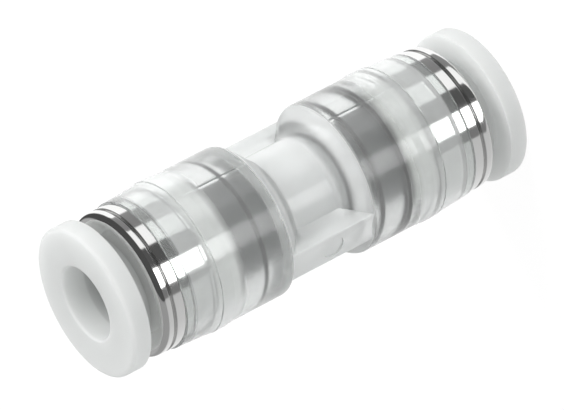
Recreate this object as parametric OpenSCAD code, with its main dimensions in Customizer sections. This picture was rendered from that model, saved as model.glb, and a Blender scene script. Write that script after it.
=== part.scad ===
// Straight push-in union for plastic tube of 8 mm outer diameter.
// A clear one-piece housing has a barrel at each end. Every barrel holds the same stack, which a
// steel clamp sleeve closes: backing ring, seal, claw seat, retaining claw and guide bush. The
// release ring slides in the sleeve and bush, and pushes the claw's fingers off the tube.
// The part stands on its lower release ring. Its axis is Z and its origin is the middle of that
// ring's outer face. Radii build up outwards from the tube and heights from the middle plane, so
// a changed wall or length moves all that lies beyond it. Each end is drawn by its height above
// the middle plane, and the lower end is the upper one mirrored in that plane.

/* [Tube] */
// Outer diameter of the tube that the fitting takes
tube_d = 8; // [4:0.5:12]
// Radial clearance of the tube in the release rings and sockets
tube_gap = 0.1; // [0.05:0.01:0.2]
// Step of the tube stop, from the socket in to the passage between the two tubes
stop_step = 1; // [0.5:0.1:1.4]
// Depth of the socket below the backing ring, which ends the tube
stop_depth = 1.4; // [0.6:0.1:2]
// Lead-in chamfer of the socket
socket_lead_in = 0.3; // [0.1:0.05:0.5]

/* [Release ring] */
// Wall of the ring's neck
neck_wall = 1.5; // [1.2:0.05:2.5]
// Overhang of the flange over the sleeve's head
flange_overhang = 0.3; // [0:0.05:2]
// Thickness of the flange
flange_thickness = 2.2; // [1.6:0.1:4]
// Rounding of the flange's edges
flange_rounding = 0.4; // [0.2:0.05:0.7]
// Rounding of the mouth that the tube enters
mouth_rounding = 0.3; // [0.1:0.05:0.6]
// Gap under the flange that closes when the ring is pressed
press_gap = 1.8; // [0.8:0.05:2]
// Radial clearance of the neck in the sleeve and bush
slide_gap = 0.08; // [0.03:0.01:0.1]
// Height of the catch that keeps the ring in the sleeve
catch_rise = 0.5; // [0.3:0.05:0.8]
// Length of the catch
catch_length = 0.8; // [0.5:0.1:1.2]
// Play of the catch below the sleeve's front wall
catch_play = 0.1; // [0.05:0.05:0.2]
// Length of the nose below the guide bush, towards the claw
nose_reach = 0.45; // [0.2:0.05:0.6]
// Wall at the tip of the nose
nose_wall = 0.7; // [0.5:0.05:1]
// Length of the nose's taper
nose_taper = 1.6; // [1:0.1:1.8]

/* [Guide bush] */
// Wall of the bush round the catch
bush_wall = 0.52; // [0.4:0.02:1.5]
// Length of the bush below the room for the catch, which guides the neck
bush_guide = 2.65; // [2:0.05:5]

/* [Clamp sleeve] */
// Wall of the skirt, inside the housing
skirt_wall = 0.5; // [0.35:0.05:1]
// Length of the skirt between the claw seat's shoulder and the third bead
skirt_length = 3.2; // [2.6:0.1:4]
// Height of the barb that holds the skirt in the housing
barb_rise = 0.25; // [0.1:0.05:0.35]
// Length of the barb
barb_length = 0.6; // [0.4:0.1:1]
// Step from the skirt out to the third bead, inside the housing's lip
collar_step = 0.65; // [0.4:0.05:1.2]
// Length of the third bead
collar_length = 1.2; // [0.8:0.1:2]
// Step from the third bead out to the head, outside the housing
head_step = 0.2; // [0:0.05:0.3]
// Rounding of the head's front edge
head_rounding = 0.45; // [0.2:0.05:0.6]
// Distance of the groove from the head's front
groove_from_front = 1.4; // [1:0.05:1.8]
// Width of the groove between the two beads
groove_width = 0.4; // [0.2:0.05:0.6]
// Depth of that groove
groove_depth = 0.35; // [0.1:0.05:0.4]
// Thickness of the head's front wall
front_wall = 0.6; // [0.4:0.05:0.9]

/* [Housing] */
// Distance between the two barrels
waist_length = 5.4; // [3:0.1:30]
// Wall of the waist round the passage
waist_wall = 2.7; // [1.5:0.1:3.6]
// Fillet where the waist meets the cones that widen it to the barrels
waist_fillet = 0.5; // [0.2:0.1:0.8]
// Thickness of the two ribs beside the waist
rib_thickness = 3.7; // [2.8:0.1:5]
// Diameter of the round mark that the ejector pin left on each rib
ejector_mark_d = 2.6; // [1:0.1:2.7]
// Depth of that mark
ejector_mark_depth = 0.2; // [0.05:0.01:0.3]
// Wall between a barrel's chambers and the waist
rim_wall = 2.5; // [2.1:0.1:4]
// Length of the cone that widens the waist to the barrel
rim_cone = 2.5; // [1:0.1:3.5]
// Rounding of the edge between that cone and the barrel
rim_rounding = 0.8; // [0.3:0.1:1.5]
// Wall of the housing's lip round the third bead
lip_wall = 0.33; // [0.2:0.01:1]
// Swell of the barrel over the lip
barrel_swell = 0.22; // [0.1:0.01:1]
// Rise of the crest over the barrel, at the end of the sleeve
crest_rise = 0.13; // [0.05:0.01:0.3]
// Length of the crest at its full height
crest_length = 1.4; // [0.6:0.1:2]
// Length of the slope on each side of the crest
crest_slope = 0.9; // [0.5:0.1:1.4]
// Radial clearance of the pieces that are pressed into the housing and into each other
fit_gap = 0.05; // [0.02:0.01:0.08]

/* [Claw and its seat] */
// Thickness of the claw's spring steel
claw_thickness = 0.35; // [0.2:0.05:0.4]
// Width of the claw's flat outer ring, up to the fingers
claw_rim = 0.95; // [0.8:0.05:1]
// Bite of the finger tips into the tube
claw_bite = 0.1; // [0.05:0.05:0.2]
// Slope of the fingers
claw_slope = 50; // [42:1:51]
// Number of fingers
claw_fingers = 10; // [6:1:12]
// Width of the slots between the fingers
claw_slot = 0.8; // [0.5:0.1:1]
// Depth of the slots in the claw's outer ring
claw_slot_depth = 0.35; // [0.25:0.05:0.5]
// Length of the claw seat below the sleeve
seat_length = 3.5; // [3:0.1:4]
// Depth of the claw seat inside the sleeve's skirt
seat_overlap = 0.9; // [0.7:0.1:1.2]
// Width of the seat's rim under the claw
seat_rim = 0.6; // [0.4:0.05:0.7]
// Thickness of the seat's floor, whose bore guides the tube
seat_floor = 0.4; // [0.3:0.05:0.6]
// Width of that floor, up to the foot of the cone that leaves the fingers room to bend
seat_floor_width = 0.9; // [0.5:0.1:1.1]

/* [Seal] */
// Length of the seal
seal_length = 3.5; // [3:0.1:5]
// Step from the sleeve's bore in to the seal's chamber
seal_step = 1.4; // [1:0.05:1.6]
// Bite of the seal's lip into the tube
seal_bite = 0.15; // [0.05:0.05:0.3]
// Thickness of the seal's heel, against the claw seat
seal_heel = 1.3; // [0.8:0.1:1.5]
// Clearance of the heel round the tube
seal_heel_gap = 0.2; // [0.1:0.05:0.4]
// Thickness of the seal's two legs
seal_leg = 0.35; // [0.25:0.05:0.45]
// Rise of the lip over the end of the outer leg
lip_rise = 0.5; // [0.2:0.1:1]
// Length of the backing ring
backing_length = 2.1; // [1.4:0.1:4]
// Step from the seal's chamber in to the backing ring's
backing_step = 0.3; // [0.1:0.1:0.5]

/* [Hidden] */
$fn = 96;
cut = 0.5;

// Radii, outwards from the tube
tube_bore_r = tube_d / 2 + tube_gap;
passage_r = tube_bore_r - stop_step;
waist_r = passage_r + waist_wall;
neck_r = tube_bore_r + neck_wall;
guide_r = neck_r + slide_gap;
catch_r = neck_r + catch_rise;
catch_room_r = catch_r + slide_gap;
inner_stack_r = catch_room_r + bush_wall;
sleeve_bore_r = inner_stack_r + fit_gap;
seal_chamber_r = sleeve_bore_r - seal_step;
backing_chamber_r = seal_chamber_r - backing_step;
skirt_r = sleeve_bore_r + skirt_wall;
barb_r = skirt_r + barb_rise;
collar_r = skirt_r + collar_step;
head_r = collar_r + head_step;
flange_r = head_r + flange_overhang;
lip_r = collar_r + fit_gap + lip_wall;
barrel_r = lip_r + barrel_swell;
crest_r = barrel_r + crest_rise;

// The ribs reach as far out as their corners stay inside the barrels
rib_corner_gap = 0.02;
rib_half_width = sqrt(barrel_r * barrel_r - rib_thickness * rib_thickness / 4) - rib_corner_gap;

// Heights above the middle plane, outwards
rim_s = waist_length / 2;
barrel_s = rim_s + rim_cone;
backing_s = rim_s + rim_wall;
stop_s = backing_s - stop_depth;
seal_s = backing_s + backing_length;
seat_s = seal_s + seal_length;
skirt_s = seat_s + seat_length;
seat_top_s = skirt_s + seat_overlap;
claw_top_s = seat_top_s + claw_thickness;
collar_s = skirt_s + skirt_length;
lip_s = collar_s + collar_length;
nose_s = claw_top_s - nose_reach;
catch_floor_s = claw_top_s + bush_guide;
catch_s = catch_floor_s + press_gap + catch_length;
front_wall_s = catch_s + catch_play;
head_s = front_wall_s + front_wall;
flange_s = head_s + press_gap;
face_s = flange_s + flange_thickness;

// The 2D sections have the radius along X and the height above the middle plane along Y.

// The piece between a corner at p, where the outline bends by the given angle, and its rounding
// of radius r, which lies towards +side_x. One side of the corner runs straight to +side_y.
// Taken off it rounds an edge, and added in an inner corner it is a fillet.
module corner_piece(p, r, side_x, side_y, bend = 90) {
  reach = r * tan(bend / 2);
  translate(p)
    scale([side_x, side_y])
      difference() {
        polygon([
          [-cut, -cut * tan(bend / 2)], [-cut, reach], [r, reach],
          [reach * sin(bend) - cut * cos(bend), -reach * cos(bend) - cut * sin(bend)]
        ]);
        translate([r, reach])
          circle(r);
      }
}

// One end's stack stands on the middle plane as the upper end or hangs from it as the lower end
module upper_end() {
  translate([0, 0, face_s])
    children();
}

module lower_end() {
  translate([0, 0, face_s])
    mirror([0, 0, 1])
      children();
}

// Half of the housing's outside, above the middle plane
module housing_outline() {
  cone_bend = atan((barrel_r - waist_r) / rim_cone);
  difference() {
    polygon([
      [0, 0], [waist_r, 0], [waist_r, rim_s], [barrel_r, barrel_s],
      [barrel_r, skirt_s - crest_length - crest_slope],
      [crest_r, skirt_s - crest_length], [crest_r, skirt_s],
      [barrel_r, skirt_s + crest_slope],
      [lip_r, lip_s], [0, lip_s]
    ]);
    corner_piece([barrel_r, barrel_s], rim_rounding, -1, 1, cone_bend);
  }
  corner_piece([waist_r, rim_s], waist_fillet, 1, -1, cone_bend);
}

// Half of the stepped hollow inside the housing, above the middle plane
module housing_hollow() {
  skirt_bore_r = skirt_r + fit_gap;
  barb_bore_r = barb_r + fit_gap;
  collar_bore_r = collar_r + fit_gap;
  polygon([
    [0, 0], [passage_r, 0], [passage_r, stop_s],
    [tube_bore_r, stop_s], [tube_bore_r, backing_s - socket_lead_in],
    [tube_bore_r + socket_lead_in, backing_s],
    [backing_chamber_r, backing_s], [backing_chamber_r, seal_s],
    [seal_chamber_r, seal_s], [seal_chamber_r, seat_s],
    [sleeve_bore_r, seat_s], [sleeve_bore_r, skirt_s],
    [barb_bore_r, skirt_s], [barb_bore_r, skirt_s + barb_length],
    [skirt_bore_r, skirt_s + barb_length], [skirt_bore_r, collar_s],
    [collar_bore_r, collar_s], [collar_bore_r, lip_s + cut],
    [0, lip_s + cut]
  ]);
}

// Both ribs are one plate through the waist, which runs into the walls of the barrels
module rib_plate() {
  rib_top_s = barrel_s + rim_rounding;
  translate([-rib_thickness / 2, -rib_half_width, -rib_top_s])
    cube([rib_thickness, 2 * rib_half_width, 2 * rib_top_s]);
}

// The marks are sunk into the ribs' outer faces
module ejector_marks() {
  for (side = [-1, 1])
    translate([0, side * rib_half_width, 0])
      rotate([90, 0, 0])
        cylinder(h = 2 * ejector_mark_depth, d = ejector_mark_d, center = true);
}

module housing() {
  color([0.9, 0.92, 0.92, 0.5])
    upper_end()
      difference() {
        union() {
          rotate_extrude() {
            housing_outline();
            mirror([0, 1])
              housing_outline();
          }
          rib_plate();
        }
        rotate_extrude() {
          housing_hollow();
          mirror([0, 1])
            housing_hollow();
        }
        ejector_marks();
      }
}

// Flange, neck, catch and tapered nose round one straight bore
module release_ring() {
  color([0.93, 0.94, 0.93, 0.9])
    rotate_extrude()
      difference() {
        polygon([
          [tube_bore_r, nose_s], [tube_bore_r + nose_wall, nose_s],
          [neck_r, nose_s + nose_taper], [neck_r, catch_s - catch_length],
          [catch_r, catch_s - catch_length / 2], [catch_r, catch_s],
          [neck_r, catch_s], [neck_r, flange_s],
          [flange_r, flange_s], [flange_r, face_s], [tube_bore_r, face_s]
        ]);
        corner_piece([flange_r, face_s], flange_rounding, -1, -1);
        corner_piece([flange_r, flange_s], flange_rounding, -1, 1);
        corner_piece([tube_bore_r, face_s], mouth_rounding, 1, -1);
      }
}

// Turned sleeve: a head of two beads outside the housing, a third bead in its lip, and a skirt
// with a barb that holds it there
module clamp_sleeve() {
  groove_s = head_s - groove_from_front;
  groove_r = head_r - groove_depth;
  color([0.62, 0.63, 0.64])
    rotate_extrude()
      difference() {
        polygon([
          [guide_r, head_s], [head_r, head_s],
          [head_r, groove_s], [groove_r, groove_s],
          [groove_r, groove_s - groove_width], [head_r, groove_s - groove_width],
          [head_r, lip_s], [collar_r, lip_s], [collar_r, collar_s],
          [skirt_r, collar_s], [skirt_r, skirt_s + barb_length],
          [barb_r, skirt_s + barb_length], [skirt_r, skirt_s],
          [sleeve_bore_r, skirt_s], [sleeve_bore_r, front_wall_s], [guide_r, front_wall_s]
        ]);
        corner_piece([head_r, head_s], head_rounding, -1, -1);
      }
}

// Bush inside the sleeve: it guides the ring's neck, gives its catch room to travel, and clamps
// the claw on its seat
module guide_bush() {
  color([0.86, 0.87, 0.86])
    rotate_extrude()
      polygon([
        [guide_r, claw_top_s], [inner_stack_r, claw_top_s],
        [inner_stack_r, front_wall_s], [catch_room_r, front_wall_s],
        [catch_room_r, catch_floor_s - catch_play], [guide_r, catch_floor_s - catch_play]
      ]);
}

// Star of spring steel: a flat outer ring with fingers that slope inwards to the tube
module retaining_claw() {
  root_r = inner_stack_r - claw_rim;
  tip_r = tube_d / 2 - claw_bite;
  drop = (root_r - tip_r) * tan(claw_slope);
  skew = claw_thickness / cos(claw_slope);
  tip_s = claw_top_s - drop - skew;
  color([0.72, 0.73, 0.75])
    difference() {
      rotate_extrude()
        polygon([
          [inner_stack_r, seat_top_s], [inner_stack_r, claw_top_s], [root_r, claw_top_s],
          [tip_r, tip_s + skew], [tip_r, tip_s],
          [root_r + (skew - claw_thickness) / tan(claw_slope), seat_top_s]
        ]);
      for (i = [0:claw_fingers - 1])
        rotate(i * 360 / claw_fingers)
          translate([0, -claw_slot / 2, tip_s - cut])
            cube([root_r + claw_slot_depth, claw_slot, claw_top_s - tip_s + 2 * cut]);
    }
}

// Cup under the claw: its cone leaves the fingers room to bend, and its floor guides the tube
module claw_seat() {
  floor_s = seat_s + seat_floor;
  color([0.93, 0.93, 0.91])
    rotate_extrude()
      polygon([
        [tube_bore_r, seat_s], [inner_stack_r, seat_s], [inner_stack_r, seat_top_s],
        [inner_stack_r - seat_rim, seat_top_s],
        [tube_bore_r + seat_floor_width, floor_s], [tube_bore_r, floor_s]
      ]);
}

// Lip seal: a heel under the claw seat and two legs with a groove between them, the inner leg a
// lip that grips the tube
module seal() {
  outer_r = seal_chamber_r - fit_gap;
  lip_tip_r = tube_d / 2 - seal_bite;
  heel_r = tube_bore_r + seal_heel_gap;
  lip_end_s = seal_s + lip_rise;
  heel_s = seat_s - seal_heel;
  color([0.16, 0.17, 0.17])
    rotate_extrude()
      polygon([
        [heel_r, seat_s], [outer_r, seat_s], [outer_r, seal_s],
        [outer_r - seal_leg, seal_s], [(heel_r + outer_r) / 2, heel_s],
        [lip_tip_r + seal_leg, lip_end_s], [lip_tip_r, lip_end_s + lip_rise]
      ]);
}

// Plain ring between the seal and the tube's socket
module backing_ring() {
  outer_r = backing_chamber_r - fit_gap;
  color([0.3, 0.31, 0.31])
    rotate_extrude()
      polygon([
        [tube_bore_r, backing_s], [outer_r, backing_s], [outer_r, seal_s], [tube_bore_r, seal_s]
      ]);
}

housing();

upper_end() release_ring();  // upper_release_ring
upper_end() clamp_sleeve();  // upper_clamp_sleeve
upper_end() guide_bush();  // upper_guide_bush
upper_end() retaining_claw();  // upper_retaining_claw
upper_end() claw_seat();  // upper_claw_seat
upper_end() seal();  // upper_seal
upper_end() backing_ring();  // upper_backing_ring

lower_end() release_ring();  // lower_release_ring
lower_end() clamp_sleeve();  // lower_clamp_sleeve
lower_end() guide_bush();  // lower_guide_bush
lower_end() retaining_claw();  // lower_retaining_claw
lower_end() claw_seat();  // lower_claw_seat
lower_end() seal();  // lower_seal
lower_end() backing_ring();  // lower_backing_ring
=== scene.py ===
"""Dresses the straight push-in union: housing, sleeves, release rings and what shows through.

The fitting stands on its lower release ring with its axis along Z. Its sections are given for the
upper end as corners of radius, height above the middle plane and rounding. Each upper piece is
turned once, and its lower twin is a copy mirrored in the middle plane.
"""

import math

import bpy
from mathutils import Matrix, Vector


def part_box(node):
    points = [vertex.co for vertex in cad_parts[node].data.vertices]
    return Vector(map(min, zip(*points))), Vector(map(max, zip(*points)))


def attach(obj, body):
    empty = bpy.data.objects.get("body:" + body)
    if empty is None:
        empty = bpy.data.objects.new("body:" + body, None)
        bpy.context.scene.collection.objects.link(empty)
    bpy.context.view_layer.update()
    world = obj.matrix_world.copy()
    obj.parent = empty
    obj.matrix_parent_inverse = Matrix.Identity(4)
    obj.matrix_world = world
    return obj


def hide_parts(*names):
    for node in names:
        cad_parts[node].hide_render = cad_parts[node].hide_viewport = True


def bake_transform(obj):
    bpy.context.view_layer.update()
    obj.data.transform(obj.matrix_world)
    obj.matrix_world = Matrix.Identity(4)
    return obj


bl_info = {
    "name": "Push-in fitting",
    "version": (1, 0, 0),
    "blender": (4, 5, 0),
    "location": "3D View > Sidebar > Fitting",
    "description": "Models and finishes a straight push-in union for plastic tube",
    "category": "Add Mesh",
}

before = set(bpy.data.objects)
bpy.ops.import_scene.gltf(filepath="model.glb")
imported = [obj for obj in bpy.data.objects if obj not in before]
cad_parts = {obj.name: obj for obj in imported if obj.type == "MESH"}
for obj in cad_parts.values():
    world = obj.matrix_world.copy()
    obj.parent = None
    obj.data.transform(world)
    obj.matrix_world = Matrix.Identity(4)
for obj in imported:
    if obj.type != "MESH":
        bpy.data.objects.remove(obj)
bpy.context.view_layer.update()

MM = 0.001
TURN_STEPS = 160
ARC_STEPS = 5
BEVEL_STEPS = 3
MERGE_DISTANCE = 1e-6
SHARP_ANGLE = math.radians(30)
# Share of an arc's reach at which a point before it and one after it hold the shading
HOLD = 1.1
# Roundings that the sections share
TIGHT_EDGE = 0.05 * MM
FINE_EDGE = 0.08 * MM
EASED_EDGE = 0.1 * MM
ROUND_EDGE = 0.15 * MM
# Roundings of the crest's slopes and edge, in their order from the waist to the lip
CREST_FOOT = 1.2 * MM
CREST_START = 0.8 * MM
CREST_EDGE = 0.03 * MM
CREST_END = 0.6 * MM
# Roundings of single corners
NECK_FILLET = 0.2 * MM
NOSE_SHOULDER = 0.3 * MM
CLAW_BEND = 0.3 * MM
LEG_TIP = 0.12 * MM
# Length of the slope from the seal's bead back to its outside
BEAD_SLOPE = 0.1 * MM
# How far the claw's slots are cut above and below the claw's top
SLOT_DROP = 4 * MM
# How far the rib plate reaches into the waist's wall
RIB_BITE = 0.5 * MM
# How far inside the barrel's radius the search for its outside line still looks
LINE_MARGIN = 0.1 * MM


def low(node):
    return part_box(node)[0]


def high(node):
    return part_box(node)[1]


MIDDLE = (low("lower_release_ring").z + high("upper_release_ring").z) / 2


def base_of(node):
    """The height of a CAD node's lowest point above the middle plane."""
    return low(node).z - MIDDLE


def top_of(node):
    """The height of a CAD node's highest point above the middle plane."""
    return high(node).z - MIDDLE


def length(name, default, description):
    """A length in metres that the sidebar shows in the scene's unit."""
    return bpy.props.FloatProperty(
        name=name, description=description, default=default, min=0, precision=5, unit="LENGTH"
    )


def tint(name, default, description):
    """A colour, as the sidebar shows it."""
    return bpy.props.FloatVectorProperty(
        name=name, description=description, default=default, size=3, min=0, max=1, subtype="COLOR"
    )


def share(name, default, description):
    """A number from 0 to 1."""
    return bpy.props.FloatProperty(
        name=name, description=description, default=default, min=0, max=1, subtype="FACTOR"
    )


class HousingSizes(bpy.types.PropertyGroup):
    """Sizes of the clear housing, with heights above its middle plane."""

    crest_radius: length("Crest radius", high("housing").x, "Radius of the crest over each sleeve's end")
    crest_rise: length("Crest rise", 0.13 * MM, "Height of the crest over the barrel")
    crest_length: length("Crest length", 1.4 * MM, "Length of the crest at its full height")
    crest_slope: length("Crest slope", 0.9 * MM, "Length of the slope on each side of the crest")
    crest_line: length("Crest line", 0.14 * MM, "Depth of the fine line moulded beside each crest")
    lip_wall: length("Lip wall", 0.33 * MM, "Wall of the lip round the sleeve's third bead")
    lip_height: length("Lip height", top_of("housing"), "Height of the lip's edge")
    lip_rounding: length("Lip rounding", 0.1 * MM, "Rounding of the lip's edge")
    rim_wall: length("Rim wall", 2.5 * MM, "Wall between a barrel's chambers and the waist")
    rim_cone: length("Rim cone", 2.5 * MM, "Length of the cone that widens the waist to the barrel")
    rim_rounding: length("Rim rounding", 0.8 * MM, "Rounding between that cone and the barrel")
    waist_radius: length("Waist radius", 5.8 * MM, "Outer radius of the waist")
    waist_fillet: length("Waist fillet", 0.5 * MM, "Fillet between the waist and the cones")
    passage_radius: length("Passage radius", 3.1 * MM, "Radius of the passage between the two tubes")
    stop_depth: length("Stop depth", 1.4 * MM, "Depth of the socket that ends the tube")
    lead_in: length("Lead-in", 0.3 * MM, "Lead-in chamfer of that socket")
    rib_thickness: length("Rib thickness", 3.7 * MM, "Thickness of the two ribs beside the waist")
    rib_corner_gap: length("Rib corner gap", 0.02 * MM, "From the ribs' corners to the barrels' outside")
    rib_rounding: length("Rib rounding", 0.12 * MM, "Rounding of the ribs' edges")
    mark_diameter: length("Mark diameter", 2.6 * MM, "Diameter of the ejector pin's mark on each rib")
    mark_depth: length("Mark depth", 0.2 * MM, "Depth of that mark")
    parting_width: length("Parting width", 0.05 * MM, "Half of the parting ridge's width")
    parting_rise: length("Parting rise", 0.02 * MM, "Height of the parting ridge")


class SleeveSizes(bpy.types.PropertyGroup):
    """Sizes of a steel clamp sleeve and of the guide bush in it."""

    head_radius: length("Head radius", high("upper_clamp_sleeve").x, "Radius of the two outer beads")
    head_height: length("Head height", top_of("upper_clamp_sleeve"), "Height of the head's front")
    front_wall: length("Front wall", 0.6 * MM, "Thickness of the head's front wall")
    head_rounding: length("Head rounding", 0.75 * MM, "Rounding of the head's front edge")
    groove_from_front: length("Groove from front", 1.3 * MM, "Distance of the groove from the head's front")
    groove_width: length("Groove width", 0.35 * MM, "Width of the groove between the two beads")
    groove_depth: length("Groove depth", 0.35 * MM, "Depth of that groove")
    head_step: length("Head step", 0.2 * MM, "Step from the third bead out to the head")
    collar_length: length("Collar length", 1.2 * MM, "Length of the third bead")
    collar_step: length("Collar step", 0.65 * MM, "Step from the skirt out to the third bead")
    skirt_height: length("Skirt height", base_of("upper_clamp_sleeve"), "Height of the skirt's end")
    skirt_wall: length("Skirt wall", 0.5 * MM, "Wall of the skirt")
    barb_rise: length("Barb rise", 0.08 * MM, "Height of the barb at the skirt's end")
    barb_length: length("Barb length", 0.6 * MM, "Length of the barb")
    edge_rounding: length("Edge rounding", 0.07 * MM, "Rounding that polishing leaves on the edges")
    fit_gap: length("Fit gap", 0.05 * MM, "Radial clearance of the pressed pieces")


class RingSizes(bpy.types.PropertyGroup):
    """Sizes of a release ring."""

    bore_radius: length("Bore radius", 4.1 * MM, "Radius of the bore that the tube enters")
    flange_radius: length("Flange radius", high("upper_release_ring").x, "Radius of the flange")
    flange_thickness: length("Flange thickness", 2.2 * MM, "Thickness of the flange")
    flange_rounding: length("Flange rounding", 0.4 * MM, "Rounding of the flange's edges")
    mouth_rounding: length("Mouth rounding", 0.3 * MM, "Rounding of the mouth")
    neck_wall: length("Neck wall", 1.5 * MM, "Wall of the neck")
    slide_gap: length("Slide gap", 0.08 * MM, "Radial clearance of the neck in the sleeve and bush")
    catch_rise: length("Catch rise", 0.5 * MM, "Height of the catch")
    catch_length: length("Catch length", 0.8 * MM, "Length of the catch")
    catch_play: length("Catch play", 0.1 * MM, "Play of the catch below the sleeve's front wall")
    bush_guide: length("Bush guide", 2.65 * MM, "Length of the bush that guides the neck")
    nose_wall: length("Nose wall", 0.7 * MM, "Wall at the tip of the nose")
    nose_taper: length("Nose taper", 1.6 * MM, "Length of the nose's taper")
    soft_edge: length("Soft edge", 0.08 * MM, "Rounding of the moulded edges")


class InnerSizes(bpy.types.PropertyGroup):
    """Sizes of the claw, its seat, the seal and the backing ring."""

    stack_radius: length("Stack radius", high("upper_retaining_claw").x, "Radius of claw, seat and bush")
    claw_thickness: length("Claw thickness", 0.35 * MM, "Thickness of the spring steel")
    claw_rim: length("Claw rim", 0.95 * MM, "Width of the claw's flat outer ring")
    claw_tip_radius: length("Claw tip radius", 3.9 * MM, "Radius at the fingers' tips")
    claw_slope: bpy.props.FloatProperty(
        name="Claw slope",
        description="Slope of the fingers",
        default=math.radians(50),
        subtype="ANGLE",
    )
    claw_fingers: bpy.props.IntProperty(
        name="Claw fingers", description="Number of fingers", default=10, min=6, max=12
    )
    claw_slot: length("Claw slot", 0.8 * MM, "Width of the slots between the fingers")
    claw_slot_depth: length("Claw slot depth", 0.35 * MM, "Depth of the slots in the outer ring")
    seat_rim: length("Seat rim", 0.6 * MM, "Width of the seat's rim under the claw")
    seat_floor: length("Seat floor", 0.4 * MM, "Thickness of the seat's floor")
    seat_floor_width: length("Seat floor width", 0.9 * MM, "Width of that floor, up to the cone")
    seal_radius: length("Seal radius", high("upper_seal").x, "Outer radius of the seal")
    seal_lip_radius: length("Seal lip radius", 3.85 * MM, "Radius at the seal's lip")
    seal_heel: length("Seal heel", 1.3 * MM, "Thickness of the seal's heel")
    seal_heel_gap: length("Seal heel gap", 0.2 * MM, "Clearance of the heel round the tube")
    seal_leg: length("Seal leg", 0.35 * MM, "Thickness of the seal's legs")
    seal_lip_rise: length("Seal lip rise", 0.5 * MM, "Rise of the lip over the end of the outer leg")
    seal_bead: length("Seal bead", 0.1 * MM, "Height of the bead that bites into the wall")
    seal_bead_length: length("Seal bead length", 0.45 * MM, "Length of that bead")
    backing_radius: length("Backing radius", high("upper_backing_ring").x, "Radius of the backing ring")


class FittingColours(bpy.types.PropertyGroup):
    """Colours and shares of the finishes."""

    clear: tint("Clear plastic", (0.96, 0.985, 0.975), "Tint of light that passes straight through")
    milk: tint("Milky plastic", (0.82, 0.835, 0.83), "Colour of the light that the housing scatters")
    sleeve_milk: share("Sleeve haze", 0.4, "Share of scattered light over the steel sleeves")
    lip_milk: share("Lip haze", 0.12, "Share of scattered light at the thin lips")
    chamber_milk: share("Chamber haze", 0.16, "Share of scattered light over the seals")
    rim_milk: share("Rim haze", 0.6, "Share of scattered light on the cones' outer part")
    foot_milk: share("Foot haze", 0.25, "Share of scattered light at the cones' foot")
    waist_milk: share("Waist haze", 0.62, "Share of scattered light on the waist")
    core_milk: share("Core haze", 0.85, "Share of scattered light deep in the waist, at its passage")
    ring: tint("Ring plastic", (0.75, 0.76, 0.755), "Colour of the release rings")
    steel: tint("Polished steel", (0.74, 0.74, 0.735), "Colour of the clamp sleeves")
    spring: tint("Spring steel", (0.52, 0.52, 0.53), "Colour of the claws")
    natural: tint("Natural plastic", (0.9, 0.9, 0.88), "Colour of the bushes and claw seats")
    rubber: tint("Seal rubber", (0.13, 0.133, 0.135), "Colour of the seals")
    dark: tint("Dark plastic", (0.14, 0.143, 0.145), "Colour of the backing rings")


# Outlines


def mirrored(corners):
    """The same corners below the middle plane, in the order that goes on from them."""
    return [(radius, -height, rounding) for radius, height, rounding in reversed(corners)]


def rounded(corners):
    """Points of a closed outline whose corners are turned into arcs of their rounding.

    A point just before each arc and one just after it keep the shading of the long walls straight.
    """
    points = []
    for i, (x, y, radius) in enumerate(corners):
        corner = Vector((x, y))
        if radius == 0:
            points.append(corner)
            continue
        before = Vector(corners[i - 1][:2]) - corner
        after = Vector(corners[(i + 1) % len(corners)][:2]) - corner
        half = before.angle(after) / 2
        reach = radius / math.tan(half)
        hold = reach * HOLD
        if hold > min(before.length, after.length):
            raise ValueError(f"a rounding of {radius} m doesn't fit at {x}, {y}")
        before.normalize()
        after.normalize()
        centre = corner + (before + after).normalized() * radius / math.sin(half)
        start = corner + before * reach - centre
        sweep = start.angle_signed(corner + after * reach - centre)
        points.append(corner + before * hold)
        for step in range(ARC_STEPS + 1):
            arm = start.copy()
            arm.rotate(Matrix.Rotation(-sweep * step / ARC_STEPS, 2))
            points.append(centre + arm)
        points.append(corner + after * hold)
    return points


# Modelling steps


def pick(piece):
    """Select one piece alone and make it active."""
    bpy.ops.object.select_all(action="DESELECT")
    piece.select_set(True)
    bpy.context.view_layer.objects.active = piece


def named(piece, name):
    piece.name = name
    piece.data.name = name
    return piece


def select_vertices(piece, wanted):
    """In edit mode, select the vertices whose place the test accepts, with what lies between."""
    bpy.ops.mesh.select_mode(type="VERT")
    bpy.ops.mesh.select_all(action="DESELECT")
    bpy.ops.object.mode_set(mode="OBJECT")
    for vertex in piece.data.vertices:
        vertex.select = wanted(vertex.co)
    bpy.ops.object.mode_set(mode="EDIT")


def turned(name, corners):
    """Turn a closed section round Z, given as corners of radius, height and rounding."""
    points = [Vector((x, 0, MIDDLE + y)) for x, y in rounded(corners)]
    bpy.ops.object.select_all(action="DESELECT")
    bpy.ops.mesh.primitive_plane_add(size=MM, location=(0, 0, 0))
    piece = named(bpy.context.object, name)
    bpy.ops.object.mode_set(mode="EDIT")
    bpy.ops.mesh.select_all(action="SELECT")
    bpy.ops.mesh.merge(type="CENTER")
    bpy.ops.transform.translate(value=points[0])
    for start, end in zip(points, points[1:] + points[:1]):
        bpy.ops.mesh.extrude_region_move(TRANSFORM_OT_translate={"value": end - start})
    bpy.ops.mesh.select_all(action="SELECT")
    bpy.ops.mesh.remove_doubles(threshold=MERGE_DISTANCE)
    bpy.ops.mesh.spin(steps=TURN_STEPS, angle=math.tau, center=(0, 0, 0), axis=(0, 0, 1))
    bpy.ops.mesh.select_all(action="SELECT")
    bpy.ops.mesh.remove_doubles(threshold=MERGE_DISTANCE)
    bpy.ops.mesh.normals_make_consistent(inside=False)
    bpy.ops.object.mode_set(mode="OBJECT")
    bpy.ops.object.shade_smooth_by_angle(angle=SHARP_ANGLE)
    return piece


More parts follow.
